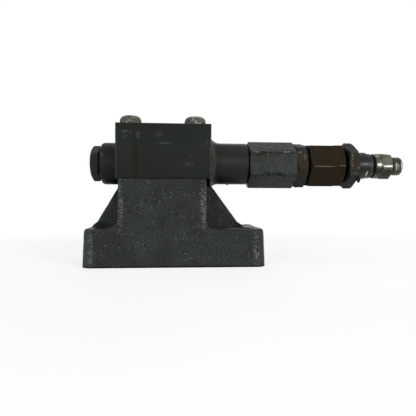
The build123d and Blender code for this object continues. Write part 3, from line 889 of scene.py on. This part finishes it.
class OBJECT_OT_valve_housing(bpy.types.Operator):
    """Piston housing on the neck, the long grey hexagon"""

    bl_idname = "object.valve_housing"
    bl_label = "Piston housing"

    def execute(self, context):
        low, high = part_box("piston_housing")
        left, right = low[0], high[0]
        neck_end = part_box("valve_body")[1][0]
        rod_bore, thread, shoulder, mouth, cylinder = (
            radius * MM for radius in (10, 13.4, 16.1, 15.4, 13.5)
        )
        shoulder_end, mouth_end, cylinder_end = neck_end + 0.9 * MM, right - 1.9 * MM, right - 17.4 * MM
        hexagon = hex_outline(shoulder_end, right, WRENCH, mouth, face_left=1.06, face_right=1.06)
        outline = [
            (left, rod_bore),
            (left, thread),
            (neck_end, thread),
            (neck_end, shoulder),
            (shoulder_end, shoulder),
            *hexagon[1:],
            (mouth_end, mouth),
            (mouth_end, cylinder),
            (cylinder_end, cylinder),
            (cylinder_end, rod_bore),
        ]
        piece = turned_piece(
            "long_hexagon",
            outline,
            chipped_housing_paint(),
            "piston_housing",
            both(dented(0.05 * MM, 3.5 * MM), torn_edges(HOUSING_TURN, 0.5 * MM, 2.2 * MM)),
            WRENCH,
            HOUSING_TURN,
        )
        return {"FINISHED"}


class OBJECT_OT_valve_nuts(bpy.types.Operator):
    """The two lock nuts and the union nut"""

    bl_idname = "object.valve_nuts"
    bl_label = "Nuts"

    def execute(self, context):
        thin = rusty_nut_steel(
            "forged_steel_painted_rusty",
            "#2f312b",
            (((110, -18, 88), (9, 8, 15), 0.9),),
            (((108, -17, 97.0), (2.4, 5, 1.5), 0.8), ((112, -17, 93.5), (1.4, 5, 4.5), 0.6)),
        )
        low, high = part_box("housing_lock_nut")
        piece = turned_piece(
            "thin_grey_nut",
            hex_outline(low[0], high[0], WRENCH, 13.5 * MM, face_left=1.04, face_right=1.04),
            thin,
            "housing_lock_nut",
            dented(0.3 * MM, 3 * MM),
            WRENCH,
            HOUSING_NUT_TURN,
        )

        low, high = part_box("connector_lock_nut")
        piece = turned_piece(
            "thin_brown_nut",
            hex_outline(low[0], high[0], WRENCH, 15 * MM, face_left=1.11),
            brown_connector_steel(),
            "connector_lock_nut",
            dented(0.08 * MM, 4 * MM),
            WRENCH,
            CONNECTOR_NUT_TURN,
        )

        union = rusty_nut_steel(
            "forged_steel_painted_worn",
            "#292e29",
            (((158, -18, 88), (8, 6, 12.5), 1.0),),
            (
                ((154.0, -18, 91), (1.4, 4, 9), 0.9),
                ((156.2, -18, 96.8), (1.4, 4, 1.2), 0.8),
                ((159.6, -18, 83.6), (1.3, 4, 1.6), 1.0),
                ((156.5, -18, 78.8), (3.4, 4, 1.0), 0.5),
            ),
        )
        low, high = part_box("union_nut")
        right, shank_hole = high[0] - 2.3 * MM, 11.8 * MM
        outline = [
            *hex_outline(low[0], right, WRENCH, 15 * MM, face_left=1.05, face_right=1.07)[:-1],
            (right, shank_hole),
            (right - 1 * MM, shank_hole),
            (right - 3 * MM, 14.2 * MM),
        ]
        piece = turned_piece(
            "rusty_union_nut",
            outline,
            union,
            "union_nut",
            dented(0.22 * MM, 3 * MM),
            WRENCH,
            UNION_TURN,
        )
        return {"FINISHED"}


class OBJECT_OT_valve_drips(bpy.types.Operator):
    """Hardened drips of paint under the union nut and the neck"""

    bl_idname = "object.valve_drips"
    bl_label = "Paint drips"

    def execute(self, context):
        paint = milled_steel_paint()
        for name, at, drop, radius in (
            ("union_nut_drip", (160.6, -15.6, 78.0), 7.2, 1.9),
            ("neck_drip", (46.3, -1.0, 69.9), 1.3, 0.9),
        ):
            piece = place_piece(name, ring_skin(name, drip_rings(at, drop, radius)), paint)
        return {"FINISHED"}


class OBJECT_OT_valve_connector(bpy.types.Operator):
    """Brown pilot connector with its two threads"""

    bl_idname = "object.valve_connector"
    bl_label = "Pilot connector"

    def execute(self, context):
        low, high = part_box("pilot_connector")
        left, right = low[0], high[0]
        nut_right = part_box("housing_lock_nut")[1][0]
        hex_left = nut_right + 2.2 * MM
        hex_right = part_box("connector_lock_nut")[0][0]
        pitch, depth = context.scene.valve_sizes.connector_pitch, 0.9 * MM
        thin_thread, thick_thread, oil_bore = 13.4 * MM, 14.9 * MM, 4.5 * MM
        cone_end = right - 10 * MM
        hexagon = hex_outline(hex_left, hex_right, WRENCH, 14 * MM, face_right=1.11)
        outline = [
            (left, oil_bore),
            (left, thin_thread),
            (hex_left, thin_thread),
            *hexagon[1:-1],
            (hex_right, thick_thread),
            (right, thick_thread),
            (right, 11.2 * MM),
            (cone_end, 9 * MM),
            (cone_end, oil_bore),
        ]
        threads = both(
            thread_relief(left, hex_left, thin_thread, pitch, depth),
            thread_relief(hex_right, right, thick_thread, pitch, depth),
        )
        piece = turned_piece(
            "brown_hexagon",
            outline,
            brown_connector_steel(),
            "pilot_connector",
            threads,
            WRENCH,
            CONNECTOR_TURN,
            ease=0.2 * MM,
            step=0.4 * MM,
        )
        return {"FINISHED"}


class OBJECT_OT_valve_shank(bpy.types.Operator):
    """Dark turned shank held by the union nut"""

    bl_idname = "object.valve_shank"
    bl_label = "Pilot shank"

    def execute(self, context):
        low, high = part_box("pilot_shank")
        left, right = low[0], high[0]
        nut_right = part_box("union_nut")[1][0]
        cone_end, step_at, seat_end = left + 8 * MM, nut_right + 9.5 * MM, right - 13 * MM
        oil_bore, nose, flange, collar, shank, seat = (
            radius * MM for radius in (5, 9.4, 14.2, 11.75, 11.15, 8.3)
        )
        outline = [
            (left, oil_bore),
            (left, nose),
            (cone_end, 11.1 * MM),
            (cone_end, flange),
            (left + 9.6 * MM, flange),
            (left + 12 * MM, collar),
            (step_at - 0.3 * MM, collar),
            (step_at, shank),
            (right - 1.6 * MM, shank),
            (right - 0.5 * MM, 10.6 * MM),
            (right, 9.4 * MM),
            (right, seat),
            (seat_end, seat),
            (seat_end, oil_bore),
        ]

        def off_centre(along, angles, radii):
            """The collar beside the nut stands higher on top than below."""
            on_collar = (radii > 11.5 * MM) & (radii < 12.1 * MM)
            return 0.6 * MM * np.clip(np.sin(angles), 0, 1) ** 2 * on_collar

        piece = turned_piece(
            "dark_shank",
            outline,
            black_oxide_shank(),
            "pilot_shank",
            both(dented(0.03 * MM, 3 * MM), off_centre),
        )
        return {"FINISHED"}


class OBJECT_OT_valve_adapter(bpy.types.Operator):
    """Plated adapter: collar, hexagon and threaded end"""

    bl_idname = "object.valve_adapter"
    bl_label = "Pilot adapter"

    def execute(self, context):
        low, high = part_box("pilot_adapter")
        left, right = low[0], high[0]
        collar_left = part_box("adapter_seal")[1][0]
        hex_left = collar_left + 5.3 * MM
        hex_right = hex_left + 10 * MM
        thread_left, ease = hex_right + 1.5 * MM, 0.8 * MM
        pitch = context.scene.valve_sizes.adapter_pitch
        corner = ADAPTER_WRENCH / sqrt(3) + CORNER_SPARE
        oil_bore, plug_in, collar, groove, undercut, thread = (
            radius * MM for radius in (3, 8.2, 11.5, 10.8, 7.3, 8.33)
        )
        outline = [
            (left, oil_bore),
            (left, plug_in),
            (collar_left, plug_in),
            (collar_left, collar - ease),
            (collar_left + ease, collar),
            (hex_left - 0.9 * MM, collar),
            (hex_left - 0.5 * MM, groove),
            (hex_left, groove),
            (hex_left + 0.9 * MM, corner),
            (hex_right - 1.2 * MM, corner),
            (hex_right, 10.6 * MM),
            (hex_right, undercut),
            (thread_left, undercut),
            (thread_left + 0.5 * MM, thread),
            (right - 1 * MM, thread),
            (right, thread - 1 * MM),
            (right, 5.5 * MM),
            (right - 4.3 * MM, oil_bore),
        ]
        piece = turned_piece(
            "plated_adapter",
            outline,
            dull_nickel_plate(),
            "pilot_adapter",
            thread_relief(thread_left, right, thread, pitch, 0.6 * MM),
            ADAPTER_WRENCH,
            ADAPTER_TURN,
            step=0.24 * MM,
        )
        return {"FINISHED"}


class OBJECT_OT_valve_inner_parts(bpy.types.Operator):
    """Finishes for the spool, piston, spring and seals"""

    bl_idname = "object.valve_inner_parts"
    bl_label = "Inner parts and seals"

    def execute(self, context):
        steel, rubber, wire = ground_steel(), moulded_rubber(), spring_wire()
        finishes = {"bright_steel": steel, "black_rubber": rubber, "spring_steel": wire}
        for subpart in frame["record"]["subparts"]:
            finish = finishes.get(subpart["material_slot"])
            if finish is None:
                continue
            piece = frame["nodes"][subpart["node"]]
            piece.data.materials.clear()
            piece.data.materials.append(finish)

        # the spring gets its own copy of the mesh, fixed on the valve's body
        coil = node_mesh("return_spring", "coiled_spring")
        spring = place_piece("coiled_spring", coil, wire, "return_spring")
        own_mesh(spring)
        return {"FINISHED"}


class OBJECT_OT_valve_studio(bpy.types.Operator):
    """Pale floor, soft lamps and the camera in front of the valve"""

    bl_idname = "object.valve_studio"
    bl_label = "Studio"

    def execute(self, context):
        pale_floor()
        white_world()
        middle = (0.03, 0, 0.07)
        lamp("left_softbox", (-0.62, -0.9, 0.26), middle, size=0.35, watts=2.4)
        lamp("right_softbox", (0.8, -0.95, 0.3), (0.05, 0, 0.07), size=0.45, watts=6.2)
        lamp("top_softbox", (0.15, -0.3, 1.1), middle, size=0.8, watts=0.4)
        lamp("rear_softbox", (0.1, 1.1, 0.4), middle, size=0.8, watts=3.0)
        photo_camera()
        context.scene.view_settings.view_transform = "Standard"
        return {"FINISHED"}


def lamp(name, at, towards, size, watts):
    """A square soft lamp that looks at a place."""
    light = bpy.data.lights.new(name, "AREA")
    light.size = size
    light.energy = watts
    holder = bpy.data.objects.new(name, light)
    holder.location = at
    holder.rotation_euler = (Vector(towards) - Vector(at)).to_track_quat("-Z", "Y").to_euler()
    bpy.context.collection.objects.link(holder)


def pale_floor():
    """A pale matte floor that keeps the shadow and looks white further off."""
    mesh = bpy.data.meshes.new("studio_floor")
    reach = 6.0
    corners = [(-reach, -reach, 0), (reach, -reach, 0), (reach, reach, 0), (-reach, reach, 0)]
    mesh.from_pydata(corners, [], [(0, 1, 2, 3)])
    floor = bpy.data.objects.new("studio_floor", mesh)
    bpy.context.collection.objects.link(floor)
    board = Finish("studio_floor_matte_board", "#c4c4c4")
    board.tint("#c8c8c8", board.grain(0.2, 0.3, 0.7))
    near = board.spot((50, 0, 0), (480, 380, 900))
    links = {0: near, 7: board.base}
    board.base = add(board.tree, "ShaderNodeMix", {6: (0, 0, 0, 1)}, links, data_type="RGBA").outputs[2]
    glow = add(board.tree, "ShaderNodeMapRange", {"To Min": 1.0, "To Max": 0.74}, {"Value": near})
    light = add(
        board.tree,
        "ShaderNodeMath",
        {},
        {0: seen_directly(board.tree), 1: glow.outputs["Result"]},
        operation="MULTIPLY",
    )
    board.tree.links.new(light.outputs[0], board.shader.inputs["Emission Strength"])
    values = {"Roughness": 0.9, "Specular IOR Level": 0.0, "Emission Color": (1, 1, 1, 1)}
    mesh.materials.append(board.settled(values))


def white_world():
    """A world that is white to the eye and in reflections, and gives only a little light."""
    world = bpy.data.worlds.new("studio_world")
    world.use_nodes = True
    bpy.context.scene.world = world
    tree = world.node_tree
    seen = seen_directly(tree)
    level = add(tree, "ShaderNodeMapRange", {"To Min": 0.18, "To Max": 1.0}, {"Value": seen})
    sky = tree.nodes["Background"]
    sky.inputs["Color"].default_value = (1, 1, 1, 1)
    tree.links.new(level.outputs["Result"], sky.inputs["Strength"])


def photo_camera():
    """The camera, level with the casting's column and turned slightly to the right."""
    camera = bpy.data.cameras.new("camera")
    camera.sensor_width = 36
    camera.lens = 35.5
    camera.clip_start = 0.01
    holder = bpy.data.objects.new("camera", camera)
    holder.location = (2.3 * MM, -366.2 * MM, 58.1 * MM)
    holder.rotation_euler = (radians(90 - 1.53), radians(-0.22), radians(-4.2))
    bpy.context.collection.objects.link(holder)
    bpy.context.scene.camera = holder


class VIEW3D_PT_valve(bpy.types.Panel):
    """The valve's pieces and colours in the sidebar"""

    bl_label = "Ripper control valve"
    bl_idname = "VIEW3D_PT_valve"
    bl_space_type = "VIEW_3D"
    bl_region_type = "UI"
    bl_category = "Valve"

    def draw(self, context):
        for group in (context.scene.valve_sizes, context.scene.valve_colours):
            for key in group.__annotations__:
                self.layout.prop(group, key)
        for operator in operators:
            self.layout.operator(operator.bl_idname)


operators = (
    OBJECT_OT_valve_casting,
    OBJECT_OT_valve_body,
    OBJECT_OT_valve_screws,
    OBJECT_OT_valve_plug,
    OBJECT_OT_valve_housing,
    OBJECT_OT_valve_nuts,
    OBJECT_OT_valve_drips,
    OBJECT_OT_valve_connector,
    OBJECT_OT_valve_shank,
    OBJECT_OT_valve_adapter,
    OBJECT_OT_valve_inner_parts,
    OBJECT_OT_valve_studio,
)
classes = (ValveColours, ValveSizes, *operators, VIEW3D_PT_valve)


def register():
    """Adds the classes and the scene's settings."""
    for item in classes:
        bpy.utils.register_class(item)
    bpy.types.Scene.valve_colours = PointerProperty(type=ValveColours)
    bpy.types.Scene.valve_sizes = PointerProperty(type=ValveSizes)


def unregister():
    """Takes the classes and the scene's settings away."""
    del bpy.types.Scene.valve_sizes
    del bpy.types.Scene.valve_colours
    for item in reversed(classes):
        bpy.utils.unregister_class(item)


def main():
    """Makes every piece and the studio."""
    register()
    bpy.ops.object.valve_casting()
    bpy.ops.object.valve_body()
    bpy.ops.object.valve_screws()
    bpy.ops.object.valve_plug()
    bpy.ops.object.valve_housing()
    bpy.ops.object.valve_nuts()
    bpy.ops.object.valve_drips()
    bpy.ops.object.valve_connector()
    bpy.ops.object.valve_shank()
    bpy.ops.object.valve_adapter()
    bpy.ops.object.valve_inner_parts()
    bpy.ops.object.valve_studio()


if __name__ == "__main__":
    main()
